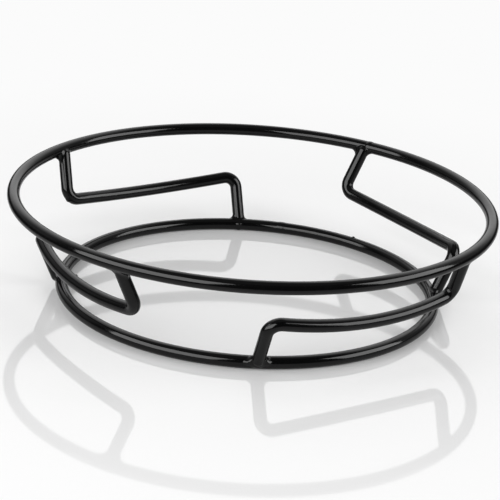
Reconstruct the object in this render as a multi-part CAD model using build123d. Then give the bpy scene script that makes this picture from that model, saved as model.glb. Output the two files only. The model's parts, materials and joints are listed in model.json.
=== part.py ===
from build123d import *
import os
from math import asin, cos, degrees, radians, sin, sqrt, tan

# Wire ring stand: two hoops of round wire joined by cranked struts, all welded.
# The origin is on the table under the middle of the rings, +Z is up, and lengths are millimetres.

# Rings
wire_diameter = 6.35        # the same round wire makes both rings and all the struts
top_ring_outside = 247.65   # the wide ring, which carries the pan
base_ring_outside = 196.85  # the narrow ring, which stands on the table
height = 54.0               # table to the top of the wide ring

# Struts
strut_count = 4
strut_run = 104.0           # corner to corner, straight across the bowed run
run_rise = 1.6              # the foot corner lies this much above the head corner
run_turn = 31.0             # degrees that the run is bowed through, to follow the rings
run_straight = 1.0          # straight wire left between a corner bend and the bow
leg_lean = 5.2              # degrees that each leg leans in over its run
corner_step = 2.6           # how far a head corner lies out of the cone between the rings, a foot corner in
bend_radius = 6.0           # corner bends, to the middle of the wire
lap_offset = 1.5            # from a ring's wire centre in or out to the strut's, at the weld
end_overrun = 0.3           # how far a strut's end passes the middle of the ring's wire
strut_bearing = 35.2        # degrees from +X to the middle of the first strut

# Welds
bead_radius = 2.4           # bead in the corner between a strut's side and a ring
bead_reach = 2.8            # from a strut's side along the ring to the end of a bead
bead_rounding = 1.6         # on the ends of a bead
bead_tilt = 55.0            # degrees round the ring's wire, towards the strut's leg, to a bead
weld_gap = 0.05             # left between one welded piece and the next
seam_width = 2.4            # weld that closes a ring, along the wire
seam_proud = 0.3            # how far a seam stands out of the wire
seam_rounding = 0.25        # on the rims of a seam
top_seam_lead = 2.2         # along the wide ring, from the first strut's head to the seam
base_seam_bearing = 80.0    # degrees from +X to the narrow ring's seam

wire_radius = wire_diameter / 2
top_radius = top_ring_outside / 2 - wire_radius
base_radius = base_ring_outside / 2 - wire_radius
top_level = height - wire_radius
base_level = wire_radius
ring_spacing = top_level - base_level

# A strut is a crank that leans out from the narrow ring to the wide one. In its own frame +X points
# out through its middle, and its run goes from the head at +Y to the foot at -Y.
half_run = strut_run / 2
corner_to_ring = (ring_spacing + run_rise) / 2
leg_slope = tan(radians(leg_lean))
end_reach = half_run - corner_to_ring * leg_slope
head_out = sqrt((top_radius - lap_offset) ** 2 - end_reach ** 2)
foot_out = sqrt((base_radius + lap_offset) ** 2 - end_reach ** 2)
strut_slope = (head_out - foot_out) / ring_spacing
leg_splay = strut_slope - corner_step / corner_to_ring
head_bearing = degrees(asin(end_reach / (top_radius - lap_offset)))
foot_bearing = -degrees(asin(end_reach / (base_radius + lap_offset)))


def on_head_leg(down):
    return Vector(head_out - leg_splay * down, end_reach + leg_slope * down, top_level - down)


def on_foot_leg(up):
    return Vector(foot_out + leg_splay * up, -end_reach - leg_slope * up, base_level + up)


def strut_path():
    head_end = on_head_leg(-end_overrun)
    head_corner = on_head_leg(corner_to_ring)
    foot_corner = on_foot_leg(corner_to_ring)
    foot_end = on_foot_leg(-end_overrun)
    half_turn = tan(radians(run_turn / 2))
    chord = head_corner - foot_corner
    downhill = Vector(1, 0, -strut_slope)
    outward = (downhill - chord * (downhill.dot(chord) / chord.dot(chord))).normalized()
    crown = (head_corner + foot_corner) / 2 + outward * (chord.length / 2) * half_turn
    corner_turn = (head_corner - head_end).get_angle(crown - head_corner)
    bend_tangent = bend_radius * tan(radians(corner_turn / 2))
    bow_tangent = (crown - head_corner).length - bend_tangent - run_straight
    bow_radius = bow_tangent / half_turn
    points = [head_end, head_corner, crown, foot_corner, foot_end]
    return FilletPolyline(*points, radius=[bend_radius, bow_radius, bend_radius])


def wire_along(path, radius):
    start = Plane(origin=path @ 0, z_dir=path % 0)
    return sweep(start * Circle(radius), path=path)


def arc_of_wire(ring_radius, level, radius, bearing, width):
    # A stretch of hoop, as many degrees wide as stated, with its middle at the bearing.
    section = Plane.XZ * Pos(ring_radius, level) * Circle(radius)
    return Rot(0, 0, bearing - width / 2) * revolve(section, axis=Axis.Z, revolution_arc=width)


def seam_angle(ring_radius):
    return degrees(seam_width / ring_radius)


def hoop(ring_radius, level, seam_bearing):
    whole = 360 - seam_angle(ring_radius)
    return arc_of_wire(ring_radius, level, wire_radius, seam_bearing + 180, whole)


def weld_bar(ring_radius, level, radius, bearing, width, rounding):
    bar = arc_of_wire(ring_radius, level, radius, bearing, width)
    return fillet(bar.edges().filter_by(GeomType.CIRCLE), rounding)


def seam(ring_radius, level, bearing):
    width = seam_angle(ring_radius)
    return weld_bar(ring_radius, level, wire_radius + seam_proud, bearing, width, seam_rounding)


def beads(ring_radius, side, level, bearing):
    # One bar of weld across a strut's end, on the ring's inner face where side is -1 and on its
    # outer face where it is 1. The strut parts it into a bead on each side.
    out = ring_radius + side * wire_radius * cos(radians(bead_tilt))
    up = level + side * wire_radius * sin(radians(bead_tilt))
    width = degrees(2 * (wire_radius + bead_reach) / out)
    return weld_bar(out, up, bead_radius, bearing, width, bead_rounding)


def save(name, solid):
    export_step(solid, f"parts/{name}.step")


os.makedirs("parts", exist_ok=True)

top_seam_bearing = strut_bearing + head_bearing - degrees(top_seam_lead / top_radius)
base_seam_level = base_level + seam_proud
top_seam = seam(top_radius, top_level, top_seam_bearing)
base_seam = seam(base_radius, base_seam_level, base_seam_bearing)
save("top_ring", hoop(top_radius, top_level, top_seam_bearing))
save("base_ring", hoop(base_radius, base_level, base_seam_bearing))
save("top_ring_seam", top_seam)
save("base_ring_seam", base_seam)

# Room that the rings and the top seam take out of the struts and the beads that lap them.
ring_room = wire_radius + weld_gap
seam_room = wire_radius + seam_proud + weld_gap
seam_room_angle = degrees((seam_width + 2 * weld_gap) / top_radius)
top_room = arc_of_wire(top_radius, top_level, ring_room, 0, 360)
base_room = arc_of_wire(base_radius, base_level, ring_room, 0, 360)
top_seam_room = arc_of_wire(top_radius, top_level, seam_room, top_seam_bearing, seam_room_angle)

path = strut_path()
strut_room = wire_along(path, wire_radius + weld_gap)
strut = wire_along(path, wire_radius) - top_room - base_room
head_beads = beads(top_radius, -1, top_level, head_bearing) - top_room - strut_room
foot_beads = beads(base_radius, 1, base_level, foot_bearing) - base_room - strut_room

for number in range(strut_count):
    turn = Rot(0, 0, strut_bearing + number * 360 / strut_count)
    save(f"strut_{number + 1}", turn * strut - top_seam_room)
    save(f"head_weld_{number + 1}", turn * head_beads - top_seam_room)
    save(f"foot_weld_{number + 1}", turn * foot_beads)
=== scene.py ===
import json
import math

import bmesh
import bpy
from mathutils import Matrix, Vector

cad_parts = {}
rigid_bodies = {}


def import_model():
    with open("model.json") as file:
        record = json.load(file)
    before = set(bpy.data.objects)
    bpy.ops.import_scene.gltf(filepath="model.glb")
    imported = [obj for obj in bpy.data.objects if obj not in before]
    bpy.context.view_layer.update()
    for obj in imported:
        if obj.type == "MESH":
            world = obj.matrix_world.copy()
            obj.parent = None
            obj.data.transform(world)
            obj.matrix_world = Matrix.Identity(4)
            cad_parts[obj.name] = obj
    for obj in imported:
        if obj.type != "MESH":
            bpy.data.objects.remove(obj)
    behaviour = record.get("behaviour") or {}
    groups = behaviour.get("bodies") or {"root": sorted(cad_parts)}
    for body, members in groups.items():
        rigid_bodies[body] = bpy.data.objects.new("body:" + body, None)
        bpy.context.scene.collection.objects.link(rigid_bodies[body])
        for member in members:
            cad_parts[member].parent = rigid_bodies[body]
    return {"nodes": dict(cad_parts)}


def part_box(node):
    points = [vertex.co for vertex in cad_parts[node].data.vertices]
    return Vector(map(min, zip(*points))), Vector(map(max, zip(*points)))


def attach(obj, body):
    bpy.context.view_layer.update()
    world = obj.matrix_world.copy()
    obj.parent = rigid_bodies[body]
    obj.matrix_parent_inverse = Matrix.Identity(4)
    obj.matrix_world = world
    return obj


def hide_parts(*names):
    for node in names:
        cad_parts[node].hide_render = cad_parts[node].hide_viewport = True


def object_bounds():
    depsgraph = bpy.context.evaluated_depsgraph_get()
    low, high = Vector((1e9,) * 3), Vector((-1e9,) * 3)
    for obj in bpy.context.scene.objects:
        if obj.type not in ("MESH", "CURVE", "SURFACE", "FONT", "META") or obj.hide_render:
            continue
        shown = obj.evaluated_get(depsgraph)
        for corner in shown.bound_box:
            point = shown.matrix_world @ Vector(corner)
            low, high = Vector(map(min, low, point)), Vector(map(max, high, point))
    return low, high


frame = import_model()
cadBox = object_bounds()
zAxis = Vector((0, 0, 1))
print("frame loaded:", len(frame["nodes"]), "nodes")


# Reading the hoops from the frame

def hoopFrom(node):
    low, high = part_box(node)
    wire = (high.z - low.z) / 2
    outside = min(-low.x, high.x, -low.y, high.y)
    return {"wire": wire, "radius": outside - wire, "level": (high.z + low.z) / 2}


def bearingOf(node):
    low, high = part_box(node)
    middle = (low + high) / 2
    return math.atan2(middle.y, middle.x)


wideHoop = hoopFrom("top_ring")
narrowHoop = hoopFrom("base_ring")
wireRadius = narrowHoop["wire"]


# Modelling helpers

def selectNothing():
    bpy.ops.object.select_all(action="DESELECT")


def selectOnly(piece):
    selectNothing()
    piece.select_set(True)
    bpy.context.view_layer.objects.active = piece


def bakePlace():  # puts the place of what is selected into its mesh
    bpy.ops.object.transform_apply(location=True, rotation=True, scale=True)


def openEdit(piece):
    selectOnly(piece)
    bpy.ops.object.mode_set(mode="EDIT")


def closeEdit():
    bpy.ops.object.mode_set(mode="OBJECT")


def pickAll():
    bpy.ops.mesh.select_all(action="SELECT")


def pickPoint(piece, measure):  # the point of the mesh where the measure is least
    bpy.ops.mesh.select_all(action="DESELECT")
    mesh = bmesh.from_edit_mesh(piece.data)
    min(mesh.verts, key=lambda vert: measure(vert.co)).select_set(True)
    bmesh.update_edit_mesh(piece.data)


def faceOutwards(mergeWithin=None):  # merges doubles first, where a distance is given
    pickAll()
    if mergeWithin:
        bpy.ops.mesh.remove_doubles(threshold=mergeWithin)
    bpy.ops.mesh.normals_make_consistent(inside=False)


def addSection(name, radius, place, along, sides, fill="NGON"):  # a cut across the wire
    selectNothing()
    turn = along.to_track_quat("Z", "Y").to_euler()
    bpy.ops.mesh.primitive_circle_add(
        vertices=sides, radius=radius, fill_type=fill, location=place, rotation=turn)
    piece = bpy.context.object
    piece.name = name
    bakePlace()
    return piece


def drawOut(step, cuts):  # lengthens the selected end in even steps
    for _ in range(cuts):
        bpy.ops.mesh.extrude_region_move(TRANSFORM_OT_translate={"value": step / cuts})


def sweepRound(centre, axis, angle, steps):
    bpy.ops.mesh.spin(steps=steps, angle=-angle, center=centre, axis=axis)


def applyModifier(piece, kind, **settings):
    bpy.context.view_layer.objects.active = piece
    added = piece.modifiers.new(kind.lower(), kind)
    for key, value in settings.items():
        setattr(added, key, value)
    bpy.ops.object.modifier_apply(modifier=added.name)


def turnedPoint(point, bearing):
    return Matrix.Rotation(bearing, 3, "Z") @ point


def copyTurned(piece, name, bearing):  # its own mesh, turned about the middle of the stand
    selectOnly(piece)
    bpy.ops.object.duplicate()
    copied = bpy.context.object
    copied.name = name
    copied.rotation_euler = (0, 0, bearing)
    bakePlace()
    return copied


spotForm = {"rows": 4, "cuts": 4}  # rows of faces each way that are cut finer, and the cuts


def raiseSpot(piece, place, away, reach, height):  # lifts a small mark out of a finished wire
    def pickNearest():
        pickPoint(piece, lambda point: (point - place).length)

    openEdit(piece)
    pickNearest()
    for _ in range(spotForm["rows"]):
        bpy.ops.mesh.select_more(use_face_step=True)
    bpy.ops.mesh.subdivide(
        number_cuts=spotForm["cuts"], ngon=False, quadcorner="STRAIGHT_CUT")
    pickNearest()
    bpy.ops.transform.translate(
        value=away * height, use_proportional_edit=True,
        proportional_edit_falloff="SMOOTH", proportional_size=reach)
    closeEdit()


smoothBelow = math.radians(40)  # edges sharper than this stay hard


def handOver(piece, node, finish):
    selectOnly(piece)
    bpy.ops.object.shade_smooth_by_angle(angle=smoothBelow)
    piece.data.materials.clear()
    piece.data.materials.append(finish)
    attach(piece, "root")
    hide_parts(node)


# Shader sockets as values

class Sock:
    def __init__(self, tree, socket=None):
        self.tree = tree
        self.socket = socket

    def node(self, kind, settings=None, inputs=None, output=0):  # settings first, then sockets
        made = self.tree.nodes.new(kind)
        for key, value in (settings or {}).items():
            setattr(made, key, value)
        for key, value in (inputs or {}).items():
            if isinstance(value, Sock):
                self.tree.links.new(value.socket, made.inputs[key])
            else:
                made.inputs[key].default_value = value
        return Sock(self.tree, made.outputs[output] if made.outputs else None)

    def math(self, operation, first, second):
        return self.node("ShaderNodeMath", {"operation": operation}, {0: first, 1: second})

    def __add__(self, other):
        return self.math("ADD", self, other)

    def __radd__(self, other):
        return self.math("ADD", other, self)

    def __sub__(self, other):
        return self.math("SUBTRACT", self, other)

    def __rsub__(self, other):
        return self.math("SUBTRACT", other, self)

    def __mul__(self, other):
        return self.math("MULTIPLY", self, other)

    def __rmul__(self, other):
        return self.math("MULTIPLY", other, self)


def newTree(data):
    data.use_nodes = True
    data.node_tree.nodes.clear()
    return Sock(data.node_tree)


def fade(tree, value, start, end, low=0, high=1):
    return tree.node(
        "ShaderNodeMapRange", {"interpolation_type": "SMOOTHSTEP"},
        {"Value": value, "From Min": start, "From Max": end, "To Min": low, "To Max": high},
    )


def splitAxes(tree, vector, axes):
    return [tree.node("ShaderNodeSeparateXYZ", {}, {0: vector}, axis) for axis in axes]


def rayIs(tree, kind):
    return tree.node("ShaderNodeLightPath", output=f"Is {kind} Ray")


# Gloss black coat

coatLook = {
    "black": (0.0012, 0.0012, 0.0013, 1),
    "thin": (0.0034, 0.0034, 0.0035, 1),  # where the coat lies thinner
    "density": 1.46,
    "gloss": 0.11,
    "glossSpread": 0.08,
    "cloud": (90, 3),      # scale and detail of slow changes in the coat's thickness
    "cloudMiddle": 0.5,
    "peel": (620, 2),      # orange peel, about 1.5 mm across
    "wave": (130, 1),      # slow waves in the coat
    "nibScale": 420,       # dust nibs under the coat
    "nibSize": 0.16,
    "nibRougher": 0.05,
    "nibHeight": 0.5,      # as part of the peel's depth
}
coatKinds = {
    # depth of the peel, depth of the waves, added roughness
    "glossBlackWire": (0.000010, 0.00005, 0.0),
    "glossBlackBent": (0.000012, 0.00010, 0.02),
    "glossBlackWeld": (0.000016, 0.00010, 0.04),
}


def coatFinish(name):
    look = coatLook
    peelDepth, waveDepth, rougher = coatKinds[name]
    finish = bpy.data.materials.new(name)
    tree = newTree(finish)
    place = tree.node("ShaderNodeTexCoord", output="Object")

    def noise(scale, detail):
        return tree.node(
            "ShaderNodeTexNoise", {}, {"Vector": place, "Scale": scale, "Detail": detail})

    cloud = noise(*look["cloud"])
    peel = noise(*look["peel"])
    wave = noise(*look["wave"])
    dust = tree.node(
        "ShaderNodeTexVoronoi", {}, {"Vector": place, "Scale": look["nibScale"]}, "Distance")
    nib = fade(tree, dust, 0, look["nibSize"], 1, 0)
    colour = tree.node(
        "ShaderNodeMix", {"data_type": "RGBA"}, {0: cloud, 6: look["black"], 7: look["thin"]}, 2)
    spread = (cloud - look["cloudMiddle"]) * look["glossSpread"]
    roughness = look["gloss"] + rougher + spread + nib * look["nibRougher"]
    height = peel * peelDepth + wave * waveDepth + nib * peelDepth * look["nibHeight"]
    bump = tree.node("ShaderNodeBump", {}, {"Height": height, "Strength": 1.0, "Distance": 1.0})
    shader = tree.node(
        "ShaderNodeBsdfPrincipled", {},
        {"Base Color": colour, "Roughness": roughness, "Normal": bump, "IOR": look["density"]},
    )
    tree.node("ShaderNodeOutputMaterial", {}, {"Surface": shader})
    return finish


wireFinish, bentFinish, weldFinish = (coatFinish(name) for name in coatKinds)
print("coat finishes made")


# Hoops: a section of wire spun right round, its two ends met by a dressed weld

hoopForm = {"sides": 40, "steps": 288, "mergeWithin": 0.00001}
spatter = {
    "bearing": math.radians(54),
    "around": math.radians(76),  # round the wire, from the outside over the top
    "reach": 0.0013,
    "height": 0.0007,
}
seamForm = {
    "sides": 40,
    "length": 0.0040,
    "lift": 0.0001,  # keeps the narrow hoop's seam off the table
    # thickness along the seam, as parts of the wire's
    "wide": (0.97, 1.02, 1.06, 1.08, 1.06, 1.02, 0.97),           # left proud
    "narrow": (0.985, 1.005, 1.02, 1.005, 1.025, 1.01, 0.985),    # dressed nearly flush
}


def ringPoint(hoop, bearing, out=0.0, up=0.0):
    reach = hoop["radius"] + out
    return Vector((reach * math.cos(bearing), reach * math.sin(bearing), hoop["level"] + up))


def ringAlong(bearing):
    return Vector((-math.sin(bearing), math.cos(bearing), 0))


def makeHoop(name, hoop, seamBearing):
    form = hoopForm
    start = ringPoint(hoop, seamBearing)
    along = ringAlong(seamBearing)
    piece = addSection(name, hoop["wire"], start, along, form["sides"], "NOTHING")
    openEdit(piece)
    pickAll()
    sweepRound((0, 0, 0), zAxis, 2 * math.pi, form["steps"])
    faceOutwards(form["mergeWithin"])
    closeEdit()
    return piece


def makeSeam(name, hoop, bearing, lift, swell):
    turn = seamForm["length"] / hoop["radius"]
    first = bearing - turn / 2
    place = ringPoint(hoop, first, 0, lift)
    radius = hoop["wire"]
    piece = addSection(name, radius * swell[0], place, ringAlong(first), seamForm["sides"])
    openEdit(piece)
    pickAll()
    for step, size in enumerate(swell[1:], 1):
        here = first + turn * step / (len(swell) - 1)
        bpy.ops.mesh.extrude_region_move(TRANSFORM_OT_translate={"value": (0, 0, 0)})
        sweepTo = ringPoint(hoop, here, 0, lift)
        bpy.ops.transform.translate(value=sweepTo - place)
        growth = size / swell[step - 1]
        bpy.ops.transform.resize(value=(growth, growth, growth), center_override=sweepTo)
        place = sweepTo
    faceOutwards()
    closeEdit()
    return piece


def addSpatter(piece, hoop):
    out, up = math.cos(spatter["around"]), math.sin(spatter["around"])
    middle = ringPoint(hoop, spatter["bearing"])
    away = ringPoint(hoop, spatter["bearing"], out, up) - middle
    raiseSpot(piece, middle + away * wireRadius, away, spatter["reach"], spatter["height"])


topSeamBearing = bearingOf("top_ring_seam")
baseSeamBearing = bearingOf("base_ring_seam")
highHoop = makeHoop("wideHoop", wideHoop, topSeamBearing)
handOver(highHoop, "top_ring", wireFinish)
lowHoop = makeHoop("narrowHoop", narrowHoop, baseSeamBearing)
addSpatter(lowHoop, narrowHoop)
handOver(lowHoop, "base_ring", wireFinish)
highSeam = makeSeam("wideSeam", wideHoop, topSeamBearing, 0, seamForm["wide"])
lowSeam = makeSeam("narrowSeam", narrowHoop, baseSeamBearing, seamForm["lift"], seamForm["narrow"])
handOver(highSeam, "top_ring_seam", weldFinish)
handOver(lowSeam, "base_ring_seam", weldFinish)
print("hoops closed")


# Struts: one cranked wire, drawn out along its legs and swept round its bends, then copied

strutForm = {
    "count": 4,
    "bearing": math.radians(35.2),   # to the middle of the first strut
    "run": 0.104,                    # corner to corner
    "rise": 0.0016,                  # the foot corner above the head corner
    "bow": math.radians(31.0),       # the run follows the hoops
    "straight": 0.001,               # left between a corner's bend and the bow
    "lean": math.radians(5.2),       # each leg leans in over the run
    "cornerStep": 0.0026,            # head corner out of the cone between the hoops, foot corner in
    "bend": 0.006,                   # radius of the corners, to the middle of the wire
    "lap": 0.0015,                   # from the middle of a hoop's wire, in or out to the strut's
    "overrun": 0.0003,               # how far an end passes the middle of the hoop's wire
    "sides": 36,
    "bendSteps": 14,
    "bowSteps": 40,
    "legSteps": 8,
    "mergeWithin": 0.000001,
    "endRounding": 0.0024,
    "endSteps": 6,
}


class StrutLine:
    def __init__(self, form):
        spacing = wideHoop["level"] - narrowHoop["level"]
        toCorner = (spacing + form["rise"]) / 2
        self.lean = math.tan(form["lean"])
        self.reach = form["run"] / 2 - toCorner * self.lean
        headReach = wideHoop["radius"] - form["lap"]
        footReach = narrowHoop["radius"] + form["lap"]
        self.headOut = math.sqrt(headReach ** 2 - self.reach ** 2)
        self.footOut = math.sqrt(footReach ** 2 - self.reach ** 2)
        self.headBearing = math.asin(self.reach / headReach)
        self.footBearing = -math.asin(self.reach / footReach)
        coneSlope = (self.headOut - self.footOut) / spacing
        self.splay = coneSlope - form["cornerStep"] / toCorner
        self.headEnd = self.onHeadLeg(-form["overrun"])
        self.headCorner = self.onHeadLeg(toCorner)
        self.footCorner = self.onFootLeg(toCorner)
        self.footEnd = self.onFootLeg(-form["overrun"])
        chord = self.headCorner - self.footCorner
        downhill = Vector((1, 0, -coneSlope))
        outward = (downhill - downhill.project(chord)).normalized()
        sag = chord.length / 2 * math.tan(form["bow"] / 2)
        self.crown = (self.headCorner + self.footCorner) / 2 + outward * sag

    def onHeadLeg(self, down):
        out = self.headOut - self.splay * down
        return Vector((out, self.reach + self.lean * down, wideHoop["level"] - down))

    def onFootLeg(self, up):
        out = self.footOut + self.splay * up
        return Vector((out, -self.reach - self.lean * up, narrowHoop["level"] + up))


line = StrutLine(strutForm)


def strutBearing(number):
    return strutForm["bearing"] + (number - 1) * 2 * math.pi / strutForm["count"]


def bendBetween(before, corner, after, radius):  # its start and end, and what it turns about
    inDir = (corner - before).normalized()
    outDir = (after - corner).normalized()
    angle = inDir.angle(outDir)
    back = radius * math.tan(angle / 2)
    axis = inDir.cross(outDir).normalized()
    return {
        "start": corner - inDir * back, "end": corner + outDir * back, "back": back,
        "centre": corner - inDir * back + axis.cross(inDir) * radius,
        "axis": axis, "angle": angle,
    }


def roundEnds(piece):  # the sheared ends of the wire, rounded by the coat
    mesh = bmesh.from_edit_mesh(piece.data)
    bpy.ops.mesh.select_all(action="DESELECT")
    for face in mesh.faces:
        if len(face.verts) > 4:  # only the caps
            for edge in face.edges:
                edge.select_set(True)
    bmesh.update_edit_mesh(piece.data)
    bpy.ops.mesh.bevel(
        offset=strutForm["endRounding"], segments=strutForm["endSteps"], affect="EDGES")


def makeStrut(name):
    form = strutForm
    headBend = bendBetween(line.headEnd, line.headCorner, line.crown, form["bend"])
    footBend = bendBetween(line.crown, line.footCorner, line.footEnd, form["bend"])
    bowReach = (line.crown - line.headCorner).length - headBend["back"] - form["straight"]
    bowRadius = bowReach / math.tan(form["bow"] / 2)
    bow = bendBetween(line.headCorner, line.crown, line.footCorner, bowRadius)
    alongHead = line.headCorner - line.headEnd
    piece = addSection(name, wireRadius, line.headEnd, alongHead, form["sides"])
    openEdit(piece)
    pickAll()
    drawOut(headBend["start"] - line.headEnd, form["legSteps"])
    sweepRound(headBend["centre"], headBend["axis"], headBend["angle"], form["bendSteps"])
    drawOut(bow["start"] - headBend["end"], 1)
    sweepRound(bow["centre"], bow["axis"], bow["angle"], form["bowSteps"])
    drawOut(footBend["start"] - bow["end"], 1)
    sweepRound(footBend["centre"], footBend["axis"], footBend["angle"], form["bendSteps"])
    drawOut(line.footEnd - footBend["end"], form["legSteps"])
    faceOutwards(form["mergeWithin"])
    roundEnds(piece)
    closeEdit()
    return piece


strutMarks = {
    # by strut: where, reach, height
    2: ("headCorner", 0.0022, 0.0007),   # kink from the bending tool
    3: ("crown", 0.0011, 0.0005),        # speck of spatter
}
crownTilt = math.radians(30)             # from the top of the run inwards, to the speck


def markAt(where):  # a point on the outside of a corner or over the run, and the way it faces
    if where == "headCorner":
        bend = bendBetween(line.headEnd, line.headCorner, line.crown, strutForm["bend"])
        away = (line.headCorner - bend["centre"]).normalized()
        return bend["centre"] + away * (strutForm["bend"] + wireRadius), away
    middle = (line.headCorner + line.footCorner) / 2
    away = Vector((-math.sin(crownTilt), 0, math.cos(crownTilt)))
    return (middle + line.crown) / 2 + away * wireRadius, away


strutModel = makeStrut("strutModel")
for number in range(1, strutForm["count"] + 1):
    turned = strutBearing(number)
    strut = copyTurned(strutModel, f"crankedStrut{number}", turned)
    if number in strutMarks:
        where, reach, height = strutMarks[number]
        place, away = (turnedPoint(point, turned) for point in markAt(where))
        raiseSpot(strut, place, away, reach, height)
    handOver(strut, f"strut_{number}", bentFinish)
bpy.data.objects.remove(strutModel)
print("struts cranked")


# Welds: the wires' ends melted together, with beads where the photo shows them

weldForm = {
    "sides": 48,
    "thin": 0.00012,          # away from the joint the melted skin lies this far inside the wires
    "ringReach": 0.0120,      # along the hoop, each way
    "ringSteps": 16,
    "legReach": 0.0130,       # up or down the strut's leg
    "legSteps": 6,
    "voxel": 0.00025,
    "backSteps": 5,
    "smoothFactor": 0.5,
    "smoothing": 4,
    "lastSmoothing": 12,
    "sink": 0.3,              # part of a bead's radius that lies in the wire
    "beadSegments": 24,
    "beadRings": 16,
}

weldRuns = {
    # the melt's fillet, then each bead: its place along the hoop, degrees round the hoop's wire
    # from the outside over the top, radius, half length
    "head1": (0.0034, ()),
    "head2": (0.0034, ((0.0046, 232, 0.0014, 0.0018),)),
    "head3": (0.0042, ((-0.0046, 255, 0.0013, 0.0024), (0.0036, 262, 0.0013, 0.0020))),
    "head4": (0.0052, ((0.0044, 262, 0.0015, 0.0024),)),
    "foot1": (0.0028, ()),
    "foot2": (0.0024, ((0.0003, 162, 0.0011, 0.0012), (0.0004, 225, 0.0010, 0.0011))),
    "foot3": (0.0026, ()),
    "foot4": (0.0028, (
        (-0.0046, 16, 0.0013, 0.0014), (0.0046, 16, 0.0013, 0.0014), (0, -8, 0.0016, 0.0026))),
}


def addBead(place, along, length, radius):
    selectNothing()
    turn = along.to_track_quat("Z", "Y").to_euler()
    bpy.ops.mesh.primitive_uv_sphere_add(
        segments=weldForm["beadSegments"], ring_count=weldForm["beadRings"],
        radius=radius, location=place, rotation=turn)
    bead = bpy.context.object
    bead.scale = (1, 1, length / radius)
    bakePlace()
    return bead


def addStub(name, start, along, sweep):  # a short length of wire, a little thin
    stub = addSection(name, wireRadius - weldForm["thin"], start, along, weldForm["sides"])
    openEdit(stub)
    pickAll()
    sweep()
    faceOutwards()
    roundEnds(stub)
    closeEdit()
    return stub


def keepOuter(weld):  # clears bubbles that the melt closes inside itself
    openEdit(weld)
    pickPoint(weld, lambda point: -point.xy.length)
    bpy.ops.mesh.select_linked()
    bpy.ops.mesh.select_all(action="INVERT")
    bpy.ops.mesh.delete(type="VERT")
    closeEdit()


def makeWeld(name, hoop, bearing, end, leg, fillet, beads):
    form = weldForm
    turn = form["ringReach"] / hoop["radius"]
    first = bearing - turn

    def alongHoop():
        sweepRound((0, 0, 0), zAxis, 2 * turn, form["ringSteps"])

    def alongLeg():
        drawOut(leg * form["legReach"], form["legSteps"])

    def fuse():
        applyModifier(weld, "REMESH", mode="VOXEL", voxel_size=form["voxel"])

    def smooth(times):
        applyModifier(weld, "SMOOTH", factor=form["smoothFactor"], iterations=times)

    ringStub = addStub("ringStub", ringPoint(hoop, first), ringAlong(first), alongHoop)
    parts = [ringStub, addStub("legStub", end, leg, alongLeg)]
    for along, around, radius, length in beads:
        spot = bearing + along / hoop["radius"]
        angle = math.radians(around)
        reach = wireRadius - form["sink"] * radius
        place = ringPoint(hoop, spot, reach * math.cos(angle), reach * math.sin(angle))
        parts.append(addBead(place, ringAlong(spot), length, radius))
    selectNothing()
    for part in parts:
        part.select_set(True)
    bpy.context.view_layer.objects.active = ringStub
    bpy.ops.object.join()
    weld = bpy.context.object
    weld.name = name
    fuse()
    # swells until the corners close, then goes back in steps
    backStep = -fillet / form["backSteps"]
    for swell in (fillet, *(backStep,) * form["backSteps"]):
        smooth(form["smoothing"])
        applyModifier(weld, "DISPLACE", strength=swell, mid_level=0)
        fuse()
    smooth(form["lastSmoothing"])
    keepOuter(weld)
    return weld


for number in range(1, strutForm["count"] + 1):
    turned = strutBearing(number)
    for where, hoop, bearing, end, corner in (
        ("head", wideHoop, line.headBearing, line.headEnd, line.headCorner),
        ("foot", narrowHoop, line.footBearing, line.footEnd, line.footCorner),
    ):
        name = f"{where}Weld{number}"
        start = turnedPoint(end, turned)
        leg = turnedPoint(corner - end, turned).normalized()
        fillet, beads = weldRuns[f"{where}{number}"]
        weld = makeWeld(name, hoop, bearing + turned, start, leg, fillet, beads)
        handOver(weld, f"{where}_weld_{number}", weldFinish)
print("welds run")


# Studio: pale gloss floor with a painted glow around the stand and painted shade in its
# reflections, pale wall behind, softboxes on both sides, dim ceiling

studio = {
    "floorSize": 12.0,
    "floorColour": (0.88, 0.88, 0.88, 1),
    "floorRoughness": 0.05,
    "floorDensity": 2.0,
    "floorLift": 0.09,            # what the floor gives to the eye and to reflections
    "outerPaintedGlow": (0.06, 0.10),    # painted light: glow that only the eye sees besides, at the front and at the back; the middle of the floor, under the stand, is left without it as painted shade
    "outerFrom": (0.085, 0.16),   # from the middle, where that comes in
    "outerDepth": (-0.10, 0.10),  # from front to back, where it grows
    "paintedReflectionShade": 0.4,             # painted shade: part of the floor that reflections in the wires leave out, showing the dim wall level in its place
    "paintedDarkReflectionFrom": (0.19, 0.28),    # to the sides and the front, where this painted shade in the reflections takes all of the floor
    "floorEnds": (0.12, 0.40),    # from the middle, where the floor runs out into the background
    "background": 0.965,
    "walls": 0.028,
    "ceiling": 0.096,
    "ceilingFrom": (0.74, 0.92),  # upwards, where the ceiling comes in
    "backWall": 1.04,
    "backFrom": (0.0, 0.3),       # towards the back, where the pale wall comes in
    "backFoot": (0.04, 0.2),      # upwards, where it comes in
    "backAside": (0.2, 0.8),      # to the sides, where it fades
    "backSides": 0.15,            # what is left of it there
    "lamps": (
        # degrees round from the camera's side, degrees up, distance, width, tall, radiance
        (-47, 25, 1.3, 1.66, 1.05, 3.35),
        (78, 25, 1.3, 1.00, 0.90, 3.5),
    ),
}


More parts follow.
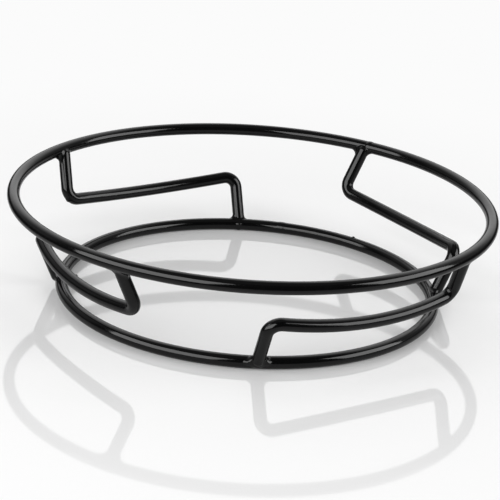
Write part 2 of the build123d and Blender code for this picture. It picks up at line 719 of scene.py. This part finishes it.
def makeFloor():
    selectNothing()
    bpy.ops.mesh.primitive_plane_add(size=studio["floorSize"], location=(0, 0, cadBox[0].z))
    floor = bpy.context.object
    floor.name = "floor"
    surface = bpy.data.materials.new("paleFloor")
    tree = newTree(surface)
    pale = tree.node("ShaderNodeBsdfPrincipled", {}, {
        "Base Color": studio["floorColour"],
        "Roughness": studio["floorRoughness"],
        "IOR": studio["floorDensity"],
    })
    place = tree.node("ShaderNodeTexCoord", output="Object")
    across, depth = splitAxes(tree, place, "XY")
    aside = tree.math("ABSOLUTE", across, 0)
    sideways = tree.math("MAXIMUM", aside, -1 * depth)
    # painted shade in reflections: how much of the floor the wires' reflections swap for the dim
    # wall level, more to the sides and the front
    paintedShadeMask = fade(tree, sideways, *studio["paintedDarkReflectionFrom"], studio["paintedReflectionShade"])
    eye, mirrored, through = (rayIs(tree, kind) for kind in ("Camera", "Glossy", "Transmission"))
    away = tree.node("ShaderNodeVectorMath", {"operation": "LENGTH"}, {0: place}, "Value")
    # painted light: glow for the eye alone, growing away from the middle and towards the back,
    # which leaves a painted darker pool under the stand
    outer = fade(tree, depth, *studio["outerDepth"], *studio["outerPaintedGlow"])
    outer = fade(tree, away, *studio["outerFrom"]) * outer
    glow = (eye + mirrored + through) * studio["floorLift"] + eye * outer
    lift = tree.node("ShaderNodeEmission", {}, {"Color": glow})
    lit = tree.node("ShaderNodeAddShader", {}, {0: pale, 1: lift})
    # painted shade: the dim wall level that reflections in the wires see instead of the floor
    dark = tree.node("ShaderNodeEmission", {}, {"Strength": studio["walls"]})
    both = tree.node("ShaderNodeMixShader", {}, {0: paintedShadeMask * mirrored, 1: lit, 2: dark})
    beyond = tree.node("ShaderNodeEmission", {}, {"Strength": studio["background"]})
    ended = fade(tree, away, *studio["floorEnds"]) * eye
    seen = tree.node("ShaderNodeMixShader", {}, {0: ended, 1: both, 2: beyond})
    tree.node("ShaderNodeOutputMaterial", {}, {"Surface": seen})
    floor.data.materials.append(surface)
    return floor


def makeWorld():
    world = bpy.data.worlds.new("studio")
    bpy.context.scene.world = world
    tree = newTree(world)
    facing = tree.node("ShaderNodeTexCoord", output="Generated")
    across, depth, height = splitAxes(tree, facing, "XYZ")
    aside = tree.math("ABSOLUTE", across, 0)
    overhead = fade(tree, height, *studio["ceilingFrom"])
    backWall = fade(tree, depth, *studio["backFrom"])
    backWall = backWall * fade(tree, aside, *studio["backAside"], 1, studio["backSides"])
    backWall = backWall * fade(tree, height, *studio["backFoot"]) * (1 - overhead)
    level = studio["walls"] + studio["backWall"] * backWall + studio["ceiling"] * overhead
    eye = rayIs(tree, "Camera")
    shown = (1 - eye) * level + eye * studio["background"]
    light = tree.node("ShaderNodeBackground", {}, {"Color": shown})
    tree.node("ShaderNodeOutputWorld", {}, {"Surface": light})


def makeLamps(floor):  # each softbox once for the stand and once, not mirrored, for the floor
    stand = bpy.data.collections.new("standOnly")
    table = bpy.data.collections.new("floorOnly")
    table.objects.link(floor)
    for piece in bpy.context.scene.objects:
        if piece.type == "MESH" and piece != floor:
            stand.objects.link(piece)
    for number, (bearing, height, distance, width, tall, radiance) in enumerate(studio["lamps"], 1):
        side, up = math.radians(bearing), math.radians(height)
        away = Vector((
            math.sin(side) * math.cos(up), -math.cos(side) * math.cos(up), math.sin(up)))
        for lit, glossy in ((stand, True), (table, False)):
            name = f"{lit.name}Softbox{number}"
            lamp = bpy.data.lights.new(name, "AREA")
            lamp.shape = "RECTANGLE"
            lamp.size = width
            lamp.size_y = tall
            lamp.energy = radiance * math.pi * width * tall
            holder = bpy.data.objects.new(name, lamp)
            holder.location = away * distance
            holder.rotation_euler = away.to_track_quat("Z", "Y").to_euler()
            holder.visible_camera = False
            holder.visible_glossy = glossy
            holder.light_linking.receiver_collection = lit
            bpy.context.scene.collection.objects.link(holder)


shot = {
    "lens": 138.372,
    "sensor": 36,
    "nearest": 0.05,
    "distance": 0.98885,  # from the middle of the narrow hoop
    "height": 21.485,     # degrees
    "pitch": 1.103,
    "roll": 4.028,
}


def makeCamera():
    lens = bpy.data.cameras.new("camera")
    lens.lens = shot["lens"]
    lens.sensor_width = shot["sensor"]
    lens.clip_start = shot["nearest"]
    holder = bpy.data.objects.new("camera", lens)
    up = math.radians(shot["height"])
    target = Vector((0, 0, narrowHoop["level"]))
    back = Vector((0, -math.cos(up), math.sin(up)))
    spot = target + back * shot["distance"]
    look = back.to_track_quat("Z", "Y").to_matrix()
    look = look @ Matrix.Rotation(math.radians(shot["pitch"]), 3, "X")
    look = look @ Matrix.Rotation(math.radians(shot["roll"]), 3, "Z")
    holder.matrix_world = Matrix.Translation(spot) @ look.to_4x4()
    bpy.context.scene.collection.objects.link(holder)
    bpy.context.scene.camera = holder


makeWorld()
makeLamps(makeFloor())
makeCamera()
bpy.context.scene.view_settings.view_transform = "Standard"
print("studio set")
